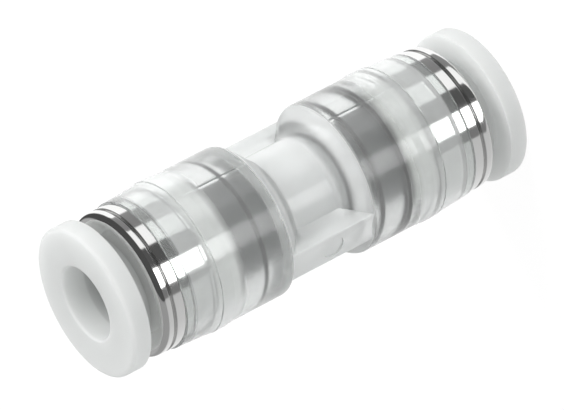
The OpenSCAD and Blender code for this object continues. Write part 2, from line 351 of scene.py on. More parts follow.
def lower_twin(upper, name):
    """Copy an upper piece for the lower end, mirrored in the middle plane."""
    pick(upper)
    bpy.ops.object.duplicate(linked=False)
    twin = named(bpy.context.object, name)
    bpy.ops.object.mode_set(mode="EDIT")
    bpy.ops.mesh.select_all(action="SELECT")
    bpy.ops.transform.resize(value=(1, 1, -1), center_override=(0, 0, MIDDLE))
    bpy.ops.mesh.normals_make_consistent(inside=False)
    bpy.ops.object.mode_set(mode="OBJECT")
    return twin


def block(size, place, rounding=0):
    """A block for joining to a piece or for cutting it, with its edges rounded where asked."""
    bpy.ops.object.select_all(action="DESELECT")
    bpy.ops.mesh.primitive_cube_add(size=1, location=place, scale=size)
    piece = bpy.context.object
    bpy.ops.object.transform_apply(location=True, rotation=True, scale=True)
    if rounding:
        bpy.ops.object.mode_set(mode="EDIT")
        bpy.ops.mesh.select_all(action="SELECT")
        bpy.ops.mesh.bevel(offset=rounding, segments=BEVEL_STEPS, affect="EDGES")
        bpy.ops.object.mode_set(mode="OBJECT")
    return piece


def rod(radius, depth, place, turn=(0, 0, 0)):
    """A round rod, for cutting a piece."""
    bpy.ops.object.select_all(action="DESELECT")
    bpy.ops.mesh.primitive_cylinder_add(
        vertices=TURN_STEPS // 2, radius=radius, depth=depth, location=place, rotation=turn
    )
    piece = bpy.context.object
    bpy.ops.object.transform_apply(location=True, rotation=True, scale=True)
    return piece


def combine(piece, tool, operation):
    """Join a tool to a piece or cut it out, and delete the tool."""
    pick(piece)
    boolean = piece.modifiers.new(operation.title(), "BOOLEAN")
    boolean.operation = operation
    boolean.solver = "EXACT"
    boolean.object = tool
    bpy.ops.object.modifier_apply(modifier=boolean.name)
    pick(tool)
    bpy.ops.object.delete()
    pick(piece)


def dress(piece, slot, body, *nodes):
    """Give a piece its slot's finish, hide the CAD nodes that it stands for, and attach the body it rides.
    """
    piece.data.materials.clear()
    piece.data.materials.append(finish(slot))
    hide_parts(*nodes)
    if body:
        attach(piece, body)


def dress_pair(upper, twin_name, slot, node, bodies=("fitting_body", "fitting_body")):
    """Copy an upper piece for the lower end, dress both, and give back the copy."""
    lower = lower_twin(upper, twin_name)
    for piece, end, body in ((upper, "upper", bodies[0]), (lower, "lower", bodies[1])):
        dress(piece, slot, body, f"{end}_{node}")
    return lower


# Nodes of materials and of the world


class Wire:
    """A value in a node tree, with which shader maths is written as Python expressions."""

    def __init__(self, sheet, node, socket=0):
        self.sheet = sheet
        self.node = node
        self.socket = node.outputs[socket]

    def __getitem__(self, output):
        return Wire(self.sheet, self.node, output)

    def maths(self, operation, *values):
        return self.sheet.add("ShaderNodeMath", {"operation": operation}, dict(enumerate(values)))

    def __add__(self, other):
        return self.maths("ADD", self, other)

    def __sub__(self, other):
        return self.maths("SUBTRACT", self, other)

    def __rsub__(self, other):
        return self.maths("SUBTRACT", other, self)

    def __mul__(self, other):
        return self.maths("MULTIPLY", self, other)

    def __truediv__(self, other):
        return self.maths("DIVIDE", self, other)

    def __abs__(self):
        return self.maths("ABSOLUTE", self)

    def __lt__(self, other):
        return self.maths("LESS_THAN", self, other)

    def __gt__(self, other):
        return self.maths("GREATER_THAN", self, other)

    def root(self):
        return self.maths("SQRT", self)

    __radd__ = __add__
    __rmul__ = __mul__


class NodeSheet:
    """The node tree of a material or of the world, emptied, to which nodes are added by call."""

    def __init__(self, owner):
        owner.use_nodes = True
        self.tree = owner.node_tree
        self.tree.nodes.clear()

    def add(self, kind, settings=None, inputs=None):
        """Add a node of a kind: its settings first, then the values or wires of its sockets."""
        node = self.tree.nodes.new(kind)
        for name, value in (settings or {}).items():
            if name == "stops":
                self.set_stops(node.color_ramp, value)
            else:
                setattr(node, name, value)
        for name, value in (inputs or {}).items():
            if isinstance(value, Wire):
                self.tree.links.new(value.socket, node.inputs[name])
            else:
                node.inputs[name].default_value = value
        return Wire(self, node) if node.outputs else node

    def set_stops(self, ramp, stops):
        """Give a colour ramp its stops, each a position and a grey."""
        ramp.elements.remove(ramp.elements[1])
        for i, (position, grey) in enumerate(stops):
            stop = ramp.elements.new(position) if i else ramp.elements[0]
            stop.position = position
            stop.color = (grey, grey, grey, 1)

    def point(self):
        """The point on the object, in metres."""
        return self.add("ShaderNodeTexCoord")["Object"]

    def round_place(self, point):
        """A point's distance from the fitting's axis, and its Z."""
        parts = self.add("ShaderNodeSeparateXYZ", inputs={"Vector": point})
        x, y = parts["X"], parts["Y"]
        return (x * x + y * y).root(), parts["Z"]

    def noise(self, point, scale, detail=2, spread=(1, 1, 1)):
        """Soft noise of so many blotches a metre, times the spread's three factors."""
        place = self.add("ShaderNodeVectorMath", {"operation": "MULTIPLY"}, {0: point, 1: spread})
        noise = self.add(
            "ShaderNodeTexNoise",
            {"noise_dimensions": "3D"},
            {"Vector": place, "Scale": scale, "Detail": detail},
        )
        return noise["Fac"]

    def ramp(self, value, start, end, low_value=0, high_value=1):
        """A smooth step from low_value at start to high_value at end."""
        return self.add(
            "ShaderNodeMapRange",
            {"interpolation_type": "SMOOTHSTEP"},
            {
                "Value": value,
                "From Min": start,
                "From Max": end,
                "To Min": low_value,
                "To Max": high_value,
            },
        )

    def colours(self, factor, first, second):
        """A colour from first at factor 0 to second at factor 1, each a colour or a wire."""
        ends = [end if isinstance(end, Wire) else (*end, 1) for end in (first, second)]
        return self.add("ShaderNodeMix", {"data_type": "RGBA"}, {0: factor, 6: ends[0], 7: ends[1]})[2]

    def scaled(self, colour, factor):
        """A colour made darker by a factor."""
        return self.add("ShaderNodeVectorMath", {"operation": "SCALE"}, {0: colour, "Scale": factor})

    def shaders(self, factor, first, second):
        """A shader from first at factor 0 to second at factor 1."""
        return self.add("ShaderNodeMixShader", inputs={0: factor, 1: first, 2: second})

    def bump(self, height, distance):
        """A normal for a relief whose height, from 0 to 1, is so many metres."""
        return self.add("ShaderNodeBump", inputs={"Height": height, "Distance": distance})

    def output(self, surface):
        """Send a shader to the material's output."""
        self.add("ShaderNodeOutputMaterial", inputs={"Surface": surface})


def new_finish(name):
    """A material and its empty node sheet."""
    material = bpy.data.materials.new(name)
    return material, NodeSheet(material)


def dimmed(colour, factor):
    """A fixed colour times a factor."""
    return tuple(channel * factor for channel in colour)


# Finishes

PLASTIC_IOR = 1.49
# Heights from the middle plane between which the clear plastic goes from one haze to the next
WAIST_TO_CONE = (2.5 * MM, 3.3 * MM)
CONE_TO_RIM = (4.1 * MM, 4.8 * MM)
RIM_TO_CHAMBER = (5.1 * MM, 5.6 * MM)
CHAMBER_TO_SLEEVE = (10.6 * MM, 12.4 * MM)
SLEEVE_TO_LIP = (17.3 * MM, 17.7 * MM)
# Radii between which the cones' foot goes over to their outer part
FOOT_TO_RIM = (6.9 * MM, 7.5 * MM)
# Heights between which the clear plastic's blur and coat change
WAIST_BLUR_END = (5 * MM, 5.6 * MM)
SLEEVE_CLEARING = (11 * MM, 13.5 * MM)
# Radius past which a surface is the housing's outside, and its step where the cones have ended
WAIST_SKIN = 5 * MM
BARREL_SKIN_STEP = 3.1 * MM
CONE_END = 5.2 * MM
# Radius and height within which a surface is the wall of the passage or of its sockets' ends
CORE_RADIUS = 4.6 * MM
CORE_HEIGHT = 5.3 * MM
# Heights between which the painted shade in a release ring's bore ends, and the radius within which it is
# painted
BORE_SHADE = (22.6 * MM, 22.9 * MM)
BORE_SKIN = 4.4 * MM
# Lengths over which the painted shade ends above a claw seat's foot and past a seal's bead
SEAT_SHADE = 0.9 * MM
BEAD_SHADE = 0.1 * MM
# How far inside the housing's wall a piece still counts as touching it
WALL_MARGIN = 0.03 * MM


def clear_plastic(colours):
    """Natural polypropylene, clear enough over the sleeves to show their steel, hazy at the waist."""
    material, sheet = new_finish("clear_plastic_finish")
    point = sheet.point()
    radius, z = sheet.round_place(point)
    height = abs(z - MIDDLE)
    clouds = sheet.noise(point, scale=350, detail=3)
    flow = sheet.noise(point, scale=160, spread=(1, 1, 0.35))
    skin = sheet.noise(point, scale=9000)
    outside = radius > (height > CONE_END) * BARREL_SKIN_STEP + WAIST_SKIN
    core = (radius < CORE_RADIUS) * (height < CORE_HEIGHT)
    foot = sheet.ramp(radius, *FOOT_TO_RIM, colours.foot_milk, colours.rim_milk)
    haze = (
        sheet.ramp(height, *WAIST_TO_CONE, colours.waist_milk, foot)
        + sheet.ramp(height, *CONE_TO_RIM) * (colours.rim_milk - foot)
        + sheet.ramp(height, *RIM_TO_CHAMBER, 0, colours.chamber_milk - colours.rim_milk)
        + sheet.ramp(height, *CHAMBER_TO_SLEEVE, 0, colours.sleeve_milk - colours.chamber_milk)
        + sheet.ramp(height, *SLEEVE_TO_LIP, 0, colours.lip_milk - colours.sleeve_milk)
    )
    blur = sheet.ramp(height, *WAIST_BLUR_END, 0.3, 0.2) + sheet.ramp(height, *SLEEVE_CLEARING, 0, -0.15)
    relief = sheet.bump(skin, 0.0006 * MM)
    waves = sheet.add(
        "ShaderNodeBump", inputs={"Height": flow, "Distance": 0.008 * MM, "Normal": relief}
    )
    clear = sheet.add(
        "ShaderNodeBsdfPrincipled",
        inputs={
            "Base Color": (*colours.clear, 1),
            "Roughness": clouds * 0.04 + blur,
            "IOR": PLASTIC_IOR,
            "Transmission Weight": 1,
            "Coat Weight": outside * sheet.ramp(height, *SLEEVE_CLEARING, 0.08, 0.25),
            "Coat Roughness": 0.04,
            "Coat IOR": PLASTIC_IOR,
            "Normal": waves,
        },
    )
    scattered = sheet.add(
        "ShaderNodeBsdfPrincipled",
        inputs={
            "Base Color": (*colours.milk, 1),
            "Roughness": 0.12,
            "IOR": PLASTIC_IOR,
            "Subsurface Weight": 0.25,
            "Subsurface Radius": (1, 1, 1),
            "Subsurface Scale": 1 * MM,
            "Normal": waves,
        },
    )
    passed = sheet.add(
        "ShaderNodeBsdfTranslucent", inputs={"Color": (*colours.milk, 1), "Normal": waves}
    )
    milk = sheet.shaders(0.15, scattered, passed)
    milkiness = outside * (haze + (clouds - 0.5) * 0.12) + core * colours.core_milk
    sheet.output(sheet.shaders(milkiness, clear, milk))
    return material


def ring_plastic(colours):
    """Satin translucent plastic of the release rings, with painted shade deep in the bore."""
    material, sheet = new_finish("ring_plastic_finish")
    point = sheet.point()
    radius, z = sheet.round_place(point)
    clouds = sheet.noise(point, scale=240, detail=3)
    skin = sheet.noise(point, scale=5000)
    # Painted shade: deeper than the shade's heights, the bore's wall is darkened by 30%
    deep = 1 - sheet.ramp(abs(z - MIDDLE), *BORE_SHADE, 0.3, 0) * (radius < BORE_SKIN)
    paint = sheet.colours(clouds, dimmed(colours.ring, 0.95), colours.ring)
    surface = sheet.add(
        "ShaderNodeBsdfPrincipled",
        inputs={
            "Base Color": sheet.scaled(paint, deep),
            "Roughness": clouds * 0.1 + 0.3,
            "IOR": PLASTIC_IOR,
            "Subsurface Weight": 1,
            "Subsurface Radius": (1, 1, 1),
            "Subsurface Scale": 2.5 * MM,
            "Normal": sheet.bump(skin, 0.002 * MM),
        },
    )
    passed = sheet.add("ShaderNodeBsdfTranslucent", inputs={"Color": (*colours.ring, 1)})
    sheet.output(sheet.shaders(0.5, surface, passed))
    return material


def polished_steel(colours):
    """Polished steel of the sleeves, with the fine rings that turning leaves."""
    material, sheet = new_finish("polished_steel_finish")
    point = sheet.point()
    radius, z = sheet.round_place(point)
    along = sheet.add("ShaderNodeCombineXYZ", inputs={"X": radius, "Y": z})
    rings = sheet.noise(along, scale=14000, detail=3)
    smears = sheet.noise(point, scale=500, detail=3)
    surface = sheet.add(
        "ShaderNodeBsdfPrincipled",
        inputs={
            "Base Color": (*colours.steel, 1),
            "Metallic": 1,
            "Roughness": smears * 0.06 + rings * 0.04 + 0.05,
            "Normal": sheet.bump(rings, 0.0008 * MM),
        },
    )
    sheet.output(surface)
    return material


def spring_steel(colours):
    """Rolled spring steel of the claws, duller than the sleeves and finely grained."""
    material, sheet = new_finish("spring_steel_finish")
    grain = sheet.noise(sheet.point(), scale=3000, detail=4, spread=(1, 0.1, 1))
    surface = sheet.add(
        "ShaderNodeBsdfPrincipled",
        inputs={
            "Base Color": sheet.colours(grain, colours.spring, dimmed(colours.spring, 1.1)),
            "Metallic": 1,
            "Roughness": grain * 0.1 + 0.22,
            "Normal": sheet.bump(grain, 0.002 * MM),
        },
    )
    sheet.output(surface)
    return material


def moulded(name, colour, roughness, mottle, gloss=0.5, shade=None):
    """Opaque moulded plastic or rubber, mottled by a share of its colour.

    A painted shade is two heights and the share of the colour that is left up to the first, from
    where it fades out to the second. On surfaces away from the housing's wall it is half as strong.
    """
    material, sheet = new_finish(name)
    point = sheet.point()
    clouds = sheet.noise(point, scale=600, detail=3)
    skin = sheet.noise(point, scale=8000)
    paint = sheet.colours(clouds, dimmed(colour, 1 - mottle), colour)
    # Painted shade: the colour is darkened up to the given heights, fully at the housing's wall, half
    # elsewhere
    if shade:
        start, end, left = shade
        radius, z = sheet.round_place(point)
        wall = bpy.context.scene.fitting_inner.stack_radius - WALL_MARGIN
        strength = (radius > wall) * 0.5 + 0.5
        paint = sheet.scaled(paint, 1 - sheet.ramp(abs(z - MIDDLE), start, end, 1 - left, 0) * strength)
    surface = sheet.add(
        "ShaderNodeBsdfPrincipled",
        inputs={
            "Base Color": paint,
            "Roughness": clouds * 0.12 + roughness,
            "Specular IOR Level": gloss,
            "Normal": sheet.bump(skin, 0.003 * MM),
        },
    )
    sheet.output(surface)
    return material


def inner_plastic(colours):
    """Natural plastic of the bushes and claw seats, with painted shade at the seats' foot beside the seals.
    """
    seat = base_of("upper_claw_seat")
    # Painted shade: the seat's colour is darkened at its foot, where it meets the seal
    shade = (seat, seat + SEAT_SHADE, 0.1)
    return moulded(
        "inner_plastic_finish", colours.natural, roughness=0.12, mottle=0.05, gloss=1, shade=shade
    )


def seal_rubber(colours):
    """Rubber of the seals, with painted shade that darkens them up to the end of their beads."""
    bead = base_of("upper_seal") + bpy.context.scene.fitting_inner.seal_bead_length
    # Painted shade: the rubber is darkened from its foot up to the end of its bead
    shade = (bead, bead + BEAD_SHADE, 0)
    return moulded("seal_rubber_finish", colours.rubber, roughness=0.5, mottle=0.2, shade=shade)


def dark_plastic(colours):
    """Dark plastic of the backing rings."""
    return moulded("dark_plastic_finish", colours.dark, roughness=0.4, mottle=0.1)


FINISHES = {
    "clear_plastic": clear_plastic,
    "ring_plastic": ring_plastic,
    "polished_steel": polished_steel,
    "spring_steel": spring_steel,
    "inner_plastic": inner_plastic,
    "seal_rubber": seal_rubber,
    "dark_plastic": dark_plastic,
}


def finish(slot):
    """The finish of a slot, made the first time that a piece asks for it."""
    made = bpy.data.materials.get(slot + "_finish")
    return made or FINISHES[slot](bpy.context.scene.fitting_colours)


# Pieces


class FITTING_OT_housing(bpy.types.Operator):
    """Model the clear housing: two barrels, ribbed waist, parting ridges and ejector marks"""

    bl_idname = "fitting.housing"
    bl_label = "Housing"

    def execute(self, context):
        sizes = context.scene.fitting_housing
        housing = turned("clear_housing", self.outer_half(context) + self.inner_half(context))
        self.add_parting_ridges(housing, sizes)
        self.add_ribs(housing, sizes)
        pick(housing)
        bpy.ops.object.shade_smooth_by_angle(angle=SHARP_ANGLE)
        dress(housing, "clear_plastic", "fitting_body", "housing")
        return {"FINISHED"}

    def barrel_radius(self, sizes):
        return sizes.crest_radius - sizes.crest_rise

    def rim_height(self, sizes):
        """The height at which the waist ends and a cone begins."""
        return base_of("upper_backing_ring") - sizes.rim_wall

    def outer_half(self, context):
        """The outside from the lower lip to the upper one."""
        sizes = context.scene.fitting_housing
        sleeve = context.scene.fitting_sleeve
        barrel = self.barrel_radius(sizes)
        rim = self.rim_height(sizes)
        crest = sleeve.skirt_height
        collar = sleeve.head_radius - sleeve.head_step
        lip_bore = collar + sleeve.fit_gap
        upper = [
            (sizes.waist_radius, rim, sizes.waist_fillet),
            (barrel, rim + sizes.rim_cone, sizes.rim_rounding),
            (barrel, crest - sizes.crest_length - sizes.crest_slope, CREST_FOOT),
            (sizes.crest_radius, crest - sizes.crest_length, CREST_START),
            (sizes.crest_radius, crest, CREST_EDGE),
            (sizes.crest_radius - sizes.crest_line, crest + sizes.crest_line / 2, 0),
            (sizes.crest_radius - sizes.crest_line, crest + sizes.crest_line, 0),
            (sizes.crest_radius - sizes.crest_line / 4, crest + 1.5 * sizes.crest_line, 0),
            (barrel, crest + sizes.crest_slope, CREST_END),
            (lip_bore + sizes.lip_wall, sizes.lip_height, sizes.lip_rounding),
        ]
        return mirrored(upper) + upper

    def inner_half(self, context):
        """The stepped hollow from the upper lip down to the lower one."""
        sizes = context.scene.fitting_housing
        sleeve = context.scene.fitting_sleeve
        ring = context.scene.fitting_ring
        inner = context.scene.fitting_inner
        gap = sleeve.fit_gap
        backing = base_of("upper_backing_ring")
        seal = base_of("upper_seal")
        seat = base_of("upper_claw_seat")
        collar_radius = sleeve.head_radius - sleeve.head_step + gap
        skirt_radius = collar_radius - sleeve.collar_step
        barb_radius = skirt_radius + sleeve.barb_rise
        collar = sizes.lip_height - sleeve.collar_length
        stack = inner.stack_radius + gap
        upper = [
            (sizes.passage_radius, backing - sizes.stop_depth, 0),
            (ring.bore_radius, backing - sizes.stop_depth, EASED_EDGE),
            (ring.bore_radius, backing - sizes.lead_in, 0),
            (ring.bore_radius + sizes.lead_in, backing, 0),
            (inner.backing_radius + gap, backing, ROUND_EDGE),
            (inner.backing_radius + gap, seal, EASED_EDGE),
            (inner.seal_radius + gap, seal, ROUND_EDGE),
            (inner.seal_radius + gap, seat, FINE_EDGE),
            (stack, seat, FINE_EDGE),
            (stack, sleeve.skirt_height, EASED_EDGE),
            (barb_radius, sleeve.skirt_height, EASED_EDGE),
            (barb_radius, sleeve.skirt_height + sleeve.barb_length, 0),
            (skirt_radius, sleeve.skirt_height + sleeve.barb_length, 0),
            (skirt_radius, collar, EASED_EDGE),
            (collar_radius, collar, ROUND_EDGE),
            (collar_radius, sizes.lip_height, TIGHT_EDGE),
        ]
        return list(reversed(upper)) + list(reversed(mirrored(upper)))

    def add_parting_ridges(self, housing, sizes):
        """Bevel the barrels' outside lines in the plane of X and Z, and lift their middles.

        The lines run from the end of each cone to the middle of the crest.
        """
        barrel = self.barrel_radius(sizes)
        start = self.rim_height(sizes) + sizes.rim_cone
        end = base_of("upper_clamp_sleeve") - sizes.crest_length / 2

        def on_line(place):
            return (
                abs(place.y) < MERGE_DISTANCE
                and abs(place.x) > barrel - LINE_MARGIN
                and start < abs(place.z - MIDDLE) < end
            )

        pick(housing)
        bpy.ops.object.mode_set(mode="EDIT")
        select_vertices(housing, on_line)
        bpy.ops.mesh.bevel(offset=sizes.parting_width, segments=2, affect="EDGES")
        select_vertices(housing, on_line)
        bpy.ops.transform.shrink_fatten(value=sizes.parting_rise)
        bpy.ops.object.mode_set(mode="OBJECT")

    def add_ribs(self, housing, sizes):
        """Join the rib plate through the waist, bored clear of the passage, and sink the marks."""
        barrel = self.barrel_radius(sizes)
        rim = self.rim_height(sizes)
        half_width = math.sqrt(barrel**2 - (sizes.rib_thickness / 2) ** 2) - sizes.rib_corner_gap
        half_height = rim + sizes.rim_cone + sizes.rim_rounding
        plate_size = (sizes.rib_thickness, 2 * half_width, 2 * half_height)
        plate = block(plate_size, (0, 0, MIDDLE), sizes.rib_rounding)
        bore = rod(sizes.waist_radius - RIB_BITE, 4 * half_height, (0, 0, MIDDLE))
        combine(plate, bore, "DIFFERENCE")
        combine(housing, plate, "UNION")
        for side in (-1, 1):
            place = (0, side * half_width, MIDDLE)
            mark = rod(sizes.mark_diameter / 2, 2 * sizes.mark_depth, place, (math.pi / 2, 0, 0))
            combine(housing, mark, "DIFFERENCE")


class FITTING_OT_clamp_sleeves(bpy.types.Operator):
    """Turn the two steel clamp sleeves"""

    bl_idname = "fitting.clamp_sleeves"
    bl_label = "Clamp sleeves"

    def execute(self, context):
        sizes = context.scene.fitting_sleeve
        ring = context.scene.fitting_ring
        edge = sizes.edge_rounding
        guide = ring.bore_radius + ring.neck_wall + ring.slide_gap
        head = sizes.head_radius
        collar = head - sizes.head_step
        skirt = collar - sizes.collar_step
        bore = skirt - sizes.skirt_wall
        top = sizes.head_height
        groove = top - sizes.groove_from_front
        lip = context.scene.fitting_housing.lip_height
        upper = turned(
            "upper_steel_sleeve",
            [
                (guide, top, edge),
                (head, top, sizes.head_rounding),
                (head, groove, edge),
                (head - sizes.groove_depth, groove, edge),
                (head - sizes.groove_depth, groove - sizes.groove_width, edge),
                (head, groove - sizes.groove_width, edge),
                (head, lip, edge),
                (collar, lip, edge),
                (collar, lip - sizes.collar_length, edge),
                (skirt, lip - sizes.collar_length, edge),
                (skirt, sizes.skirt_height + sizes.barb_length, 0),
                (skirt + sizes.barb_rise, sizes.skirt_height + sizes.barb_length, 0),
                (skirt, sizes.skirt_height, 0),
                (bore, sizes.skirt_height, edge),
                (bore, top - sizes.front_wall, edge),
                (guide, top - sizes.front_wall, edge),
            ],
        )
        dress_pair(upper, "lower_steel_sleeve", "polished_steel", "clamp_sleeve")
        return {"FINISHED"}


class FITTING_OT_release_rings(bpy.types.Operator):
    """Turn the two release rings with flange, neck, catch and nose"""

    bl_idname = "fitting.release_rings"
    bl_label = "Release rings"

    def execute(self, context):
        sizes = context.scene.fitting_ring
        sleeve = context.scene.fitting_sleeve
        edge = sizes.soft_edge
        bore = sizes.bore_radius
        neck = bore + sizes.neck_wall
        catch = neck + sizes.catch_rise
        face = top_of("upper_release_ring")
        nose = base_of("upper_release_ring")
        flange = face - sizes.flange_thickness
        catch_top = sleeve.head_height - sleeve.front_wall - sizes.catch_play
        upper = turned(
            "upper_ring",
            [
                (bore, nose, edge),
                (bore + sizes.nose_wall, nose, edge),
                (neck, nose + sizes.nose_taper, NOSE_SHOULDER),
                (neck, catch_top - sizes.catch_length, edge),
                (catch, catch_top - sizes.catch_length / 2, edge),
                (catch, catch_top, edge),
                (neck, catch_top, edge),
                (neck, flange, NECK_FILLET),
                (sizes.flange_radius, flange, edge),
                (sizes.flange_radius, face, sizes.flange_rounding),
                (bore, face, sizes.mouth_rounding),
            ],
        )
        dress_pair(upper, "lower_ring", "ring_plastic", "release_ring", ("upper_ring", "lower_ring"))
        return {"FINISHED"}


class FITTING_OT_guide_bushes(bpy.types.Operator):
    """Turn the two bushes that guide the release rings"""

    bl_idname = "fitting.guide_bushes"
    bl_label = "Guide bushes"

    def execute(self, context):
        ring = context.scene.fitting_ring
        edge = ring.soft_edge
        neck = ring.bore_radius + ring.neck_wall
        guide = neck + ring.slide_gap
        room = neck + ring.catch_rise + ring.slide_gap
        outside = context.scene.fitting_inner.stack_radius
        foot = base_of("upper_guide_bush")
        top = top_of("upper_guide_bush")
        floor = foot + ring.bush_guide - ring.catch_play
        upper = turned(
            "upper_bush",
            [
                (guide, foot, edge),
                (outside, foot, edge),
                (outside, top, edge),
                (room, top, edge),
                (room, floor, edge),
                (guide, floor, edge),
            ],
        )
        dress_pair(upper, "lower_bush", "inner_plastic", "guide_bush")
        return {"FINISHED"}


class FITTING_OT_claws(bpy.types.Operator):
    """Turn the two spring steel claws and slot their fingers"""

    bl_idname = "fitting.claws"
    bl_label = "Retaining claws"

    def execute(self, context):
        sizes = context.scene.fitting_inner
        slope = sizes.claw_slope
        top = top_of("upper_retaining_claw")
        seat = top - sizes.claw_thickness
        root = sizes.stack_radius - sizes.claw_rim
        tip = sizes.claw_tip_radius
        skew = sizes.claw_thickness / math.cos(slope)
        drop = (root - tip) * math.tan(slope)
        edge = TIGHT_EDGE
        upper = turned(
            "upper_claw",
            [
                (sizes.stack_radius, seat, edge),
                (sizes.stack_radius, top, edge),
                (root, top, ROUND_EDGE),
                (tip, top - drop, edge),
                (tip, top - drop - skew, edge),
                (root + (skew - sizes.claw_thickness) / math.tan(slope), seat, CLAW_BEND),
            ],
        )
        self.cut_slots(upper, sizes, root)
        lower = dress_pair(upper, "lower_claw", "spring_steel", "retaining_claw", (None, None))
        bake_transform(upper)
        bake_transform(lower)
        return {"FINISHED"}

    def cut_slots(self, claw, sizes, root):
        """Cut the slots one after the other, each from the claw's middle out into its rim."""
        reach = root + sizes.claw_slot_depth
        place = high("upper_retaining_claw").z
        for i in range(sizes.claw_fingers):
            slot = block((reach, sizes.claw_slot, 2 * SLOT_DROP), (reach / 2, 0, place))
            turn = i * math.tau / sizes.claw_fingers
            slot.data.transform(Matrix.Rotation(turn, 4, "Z"))
            combine(claw, slot, "DIFFERENCE")
        bpy.ops.object.shade_smooth_by_angle(angle=SHARP_ANGLE)


class FITTING_OT_claw_seats(bpy.types.Operator):
    """Turn the two cups that the claws rest on"""

    bl_idname = "fitting.claw_seats"
    bl_label = "Claw seats"

    def execute(self, context):
        sizes = context.scene.fitting_inner
        ring = context.scene.fitting_ring
        edge = ring.soft_edge
        foot = base_of("upper_claw_seat")
        top = top_of("upper_claw_seat")
        floor = foot + sizes.seat_floor
        upper = turned(
            "upper_seat",
            [
                (ring.bore_radius, foot, edge),
                (sizes.stack_radius, foot, edge),
                (sizes.stack_radius, top, edge),
                (sizes.stack_radius - sizes.seat_rim, top, edge),
                (ring.bore_radius + sizes.seat_floor_width, floor, edge),
                (ring.bore_radius, floor, edge),
            ],
        )
        dress_pair(upper, "lower_seat", "inner_plastic", "claw_seat")
        return {"FINISHED"}


class FITTING_OT_seals(bpy.types.Operator):
    """Turn the two lip seals and the backing rings behind them"""

    bl_idname = "fitting.seals"
    bl_label = "Seals"

    def execute(self, context):
        dress_pair(self.seal(context), "lower_lip_seal", "seal_rubber", "seal")
        dress_pair(self.backing(context), "lower_backing", "dark_plastic", "backing_ring")
        return {"FINISHED"}

    def seal(self, context):
        sizes = context.scene.fitting_inner
        foot = base_of("upper_seal")
        top = top_of("upper_seal")
        heel = top - sizes.seal_heel
        heel_radius = context.scene.fitting_ring.bore_radius + sizes.seal_heel_gap
        leg = sizes.seal_leg
        outside = sizes.seal_radius
        lip_end = foot + sizes.seal_lip_rise
        return turned(
            "upper_lip_seal",
            [
                (heel_radius, top, ROUND_EDGE),
                (outside, top, ROUND_EDGE),
                (outside, foot + sizes.seal_bead_length + BEAD_SLOPE, 0),
                (outside + sizes.seal_bead, foot + sizes.seal_bead_length, 0),
                (outside + sizes.seal_bead, foot, FINE_EDGE),
                (outside - leg, foot, LEG_TIP),
                ((heel_radius + outside) / 2, heel, TIGHT_EDGE),
                (sizes.seal_lip_radius + leg, lip_end, FINE_EDGE),
                (sizes.seal_lip_radius, lip_end + sizes.seal_lip_rise, FINE_EDGE),
            ],
        )

    def backing(self, context):
        ring = context.scene.fitting_ring
        edge = ring.soft_edge
        foot = base_of("upper_backing_ring")
        top = top_of("upper_backing_ring")
        outside = context.scene.fitting_inner.backing_radius
        return turned(
            "upper_backing",
            [
                (ring.bore_radius, foot, edge),
                (outside, foot, edge),
                (outside, top, edge),
                (ring.bore_radius, top, edge),
            ],
        )


# Studio

CAMERA_AZIMUTH = math.radians(-37.4)
CAMERA_ELEVATION = math.radians(26.16)
CAMERA_ROLL = math.radians(-117.44)
CAMERA_DISTANCE = 0.7
FRAMED_WIDTH = 0.0583
SENSOR_WIDTH = 36
# How far the camera aims left of and below the fitting's middle, as the picture has it
AIM_LEFT = 0.298 * MM
AIM_DOWN = 0.479 * MM
FLOOR_RADIUS = 4
FLOOR_GREY = 0.97
# Brightness of the floor's white for the camera, and its share over the shadow
FLOOR_WHITE = 1.03
FLOOR_WHITE_SHARE = 0.88
LAMP_PLACE = (0.45, 0.3, 0.55)
LAMP_SIZE = 0.5
LAMP_WATTS = 6
# Strength of the soft light at the side and overhead, and Z of the directions where it changes
SOFT_SIDE = 1.1
SOFT_TOP = 0.7
SOFT_CHANGE = (0.1, 0.9)
# Direction at which the walls' dark part starts
DARK_START = -86.2
# Z of the directions between which the walls end: the camera looks down, so upright surfaces
# mirror what lies below the horizon
WALL_TOP = (-0.3, -0.2)
# Grey above the walls, and how much paler it is before the dark part's direction
GLOOM = 0.08
GLOOM_RISE = 0.3
# Grey of the studio wall by its direction round the fitting, in degrees from +X towards +Y
WALL = [
    (-217.4, 1.0),
    (-169, 0.85),
    (-130, 0.7),
    (DARK_START, 0.64),
    (DARK_START, 0.22),
    (-67.6, 0.22),
    (-67.6, 4),
    (-38.6, 4),
    (-38.6, 0.1),
    (-4, 0.1),
    (-4, 1.2),
    (31, 1.2),
    (31, 0.25),
    (68.5, 0.32),
    (68.5, 1.35),
    (142.6, 1.1),
]
# Direction of the grey card, and the cosines of the angles from it where it starts and is full
CARD_DIRECTION = (math.radians(142.6), math.radians(26.2))
CARD_EDGE = (0.84, 0.93)
CARD_GREY = 0.5


def direction(azimuth, elevation):
    """A unit vector by its angle from +X towards +Y and its angle above the floor."""
    level = math.cos(elevation)
    return Vector((level * math.cos(azimuth), level * math.sin(azimuth), math.sin(elevation)))


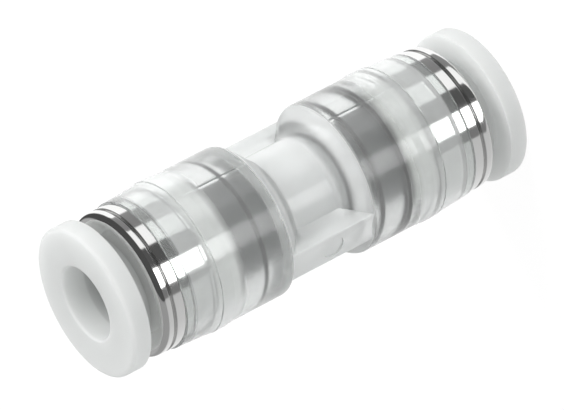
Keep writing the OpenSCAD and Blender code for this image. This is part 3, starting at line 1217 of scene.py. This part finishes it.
class FITTING_OT_studio(bpy.types.Operator):
    """Set up the floor, the soft lamp, the studio walls that the steel reflects, and the camera"""

    bl_idname = "fitting.studio"
    bl_label = "Studio"

    def execute(self, context):
        scene = context.scene
        scene.view_settings.view_transform = "Standard"
        scene.cycles.max_bounces = 24
        scene.cycles.transmission_bounces = 24
        scene.cycles.transparent_max_bounces = 16
        scene.cycles.glossy_bounces = 8
        scene.cycles.use_denoising = True
        self.add_floor()
        self.add_lamp()
        self.light_walls(scene)
        self.add_camera(scene)
        return {"FINISHED"}

    def add_floor(self):
        bpy.ops.object.select_all(action="DESELECT")
        bpy.ops.mesh.primitive_circle_add(vertices=128, radius=FLOOR_RADIUS, fill_type="NGON")
        floor = named(bpy.context.object, "floor")
        material, sheet = new_finish("floor")
        seen = sheet.add("ShaderNodeLightPath")["Is Camera Ray"]
        grey = (FLOOR_GREY, FLOOR_GREY, FLOOR_GREY, 1)
        lit = sheet.add("ShaderNodeBsdfDiffuse", inputs={"Color": grey})
        white = sheet.add("ShaderNodeEmission", inputs={"Color": (1, 1, 1, 1), "Strength": FLOOR_WHITE})
        sheet.output(sheet.shaders(seen * FLOOR_WHITE_SHARE, lit, white))
        floor.data.materials.append(material)
        floor.visible_diffuse = False
        floor.visible_glossy = False
        floor.visible_transmission = False
        floor.visible_shadow = False

    def add_lamp(self):
        bpy.ops.object.light_add(type="AREA", location=LAMP_PLACE)
        lamp = named(bpy.context.object, "key_lamp")
        lamp.data.shape = "DISK"
        lamp.data.size = LAMP_SIZE
        lamp.data.energy = LAMP_WATTS
        aim = Vector((0, 0, MIDDLE)) - lamp.location
        lamp.rotation_euler = aim.to_track_quat("-Z", "Y").to_euler()
        lamp.visible_glossy = False
        lamp.visible_camera = False
        lamp.visible_transmission = False

    def light_walls(self, scene):
        """White for the camera, the walls for mirrored light, and plain soft light for the rest."""
        world = bpy.data.worlds.new("studio")
        scene.world = world
        sheet = NodeSheet(world)
        ray = sheet.add("ShaderNodeTexCoord")["Generated"]
        parts = sheet.add("ShaderNodeSeparateXYZ", inputs={"Vector": ray})
        first, last = WALL[0][0], WALL[-1][0]
        angle = parts["Y"].maths("ARCTAN2", parts["Y"], parts["X"]) * math.degrees(1)
        wrapped = angle - (angle > last) * 360
        stops = [((degrees - first) / (last - first), grey) for degrees, grey in WALL]
        wall = sheet.add("ShaderNodeValToRGB", {"stops": stops}, {0: (wrapped - first) / (last - first)})
        towards_card = sheet.add(
            "ShaderNodeVectorMath",
            {"operation": "DOT_PRODUCT"},
            {0: ray, 1: direction(*CARD_DIRECTION)},
        )["Value"]
        card = sheet.ramp(towards_card, *CARD_EDGE)
        above = sheet.ramp(parts["Z"], *WALL_TOP)
        gloom = (wrapped < DARK_START) * GLOOM_RISE + GLOOM
        shaded = sheet.colours(above, wall, gloom)
        carded = sheet.colours(card, shaded, (CARD_GREY, CARD_GREY, CARD_GREY))
        path = sheet.add("ShaderNodeLightPath")
        mirrored_light = (path["Glossy Depth"] > 0.5) * (path["Diffuse Depth"] < 0.5)
        strength = sheet.ramp(parts["Z"], *SOFT_CHANGE, SOFT_SIDE, SOFT_TOP)
        soft = sheet.add("ShaderNodeBackground", inputs={"Color": (1, 1, 1, 1), "Strength": strength})
        walls = sheet.add("ShaderNodeBackground", inputs={"Color": carded, "Strength": 1})
        white = sheet.add("ShaderNodeBackground", inputs={"Color": (1, 1, 1, 1), "Strength": 1})
        around = sheet.shaders(mirrored_light, soft, walls)
        seen = sheet.shaders(path["Is Camera Ray"], around, white)
        sheet.add("ShaderNodeOutputWorld", inputs={"Surface": seen})

    def add_camera(self, scene):
        """The photograph's view, in which the standing fitting lies across the picture."""
        backward = direction(CAMERA_AZIMUTH, CAMERA_ELEVATION)
        turn = backward.to_track_quat("Z", "Y").to_matrix() @ Matrix.Rotation(CAMERA_ROLL, 3, "Z")
        right, up = turn.col[0], turn.col[1]
        aim = Vector((0, 0, MIDDLE)) - right * AIM_LEFT - up * AIM_DOWN
        bpy.ops.object.camera_add(location=aim + backward * CAMERA_DISTANCE)
        camera = named(bpy.context.object, "camera")
        camera.data.sensor_width = SENSOR_WIDTH
        camera.data.lens = CAMERA_DISTANCE / FRAMED_WIDTH * SENSOR_WIDTH
        camera.data.clip_start = 0.01
        camera.data.clip_end = 20
        camera.rotation_euler = turn.to_euler()
        scene.camera = camera


class FITTING_PT_panel(bpy.types.Panel):
    """Lists the fitting's pieces and sizes"""

    bl_idname = "FITTING_PT_panel"
    bl_label = "Push-in fitting"
    bl_space_type = "VIEW_3D"
    bl_region_type = "UI"
    bl_category = "Fitting"

    def draw(self, context):
        for operator in OPERATORS:
            self.layout.operator(operator.bl_idname)
        for name in SETTINGS:
            box = self.layout.box()
            group = getattr(context.scene, name)
            for key in group.bl_rna.properties.keys():
                if key not in ("name", "rna_type"):
                    box.prop(group, key)


SETTINGS = {
    "fitting_housing": HousingSizes,
    "fitting_sleeve": SleeveSizes,
    "fitting_ring": RingSizes,
    "fitting_inner": InnerSizes,
    "fitting_colours": FittingColours,
}
OPERATORS = (
    FITTING_OT_housing,
    FITTING_OT_clamp_sleeves,
    FITTING_OT_release_rings,
    FITTING_OT_guide_bushes,
    FITTING_OT_claws,
    FITTING_OT_claw_seats,
    FITTING_OT_seals,
    FITTING_OT_studio,
)


def register():
    for part in (*SETTINGS.values(), *OPERATORS, FITTING_PT_panel):
        bpy.utils.register_class(part)
    for name, group in SETTINGS.items():
        setattr(bpy.types.Scene, name, bpy.props.PointerProperty(type=group))


def unregister():
    for name in SETTINGS:
        delattr(bpy.types.Scene, name)
    for part in reversed((*SETTINGS.values(), *OPERATORS, FITTING_PT_panel)):
        bpy.utils.unregister_class(part)


def main():
    register()
    bpy.ops.fitting.housing()
    bpy.ops.fitting.clamp_sleeves()
    bpy.ops.fitting.release_rings()
    bpy.ops.fitting.guide_bushes()
    bpy.ops.fitting.claws()
    bpy.ops.fitting.claw_seats()
    bpy.ops.fitting.seals()
    bpy.ops.fitting.studio()


if __name__ == "__main__":
    main()
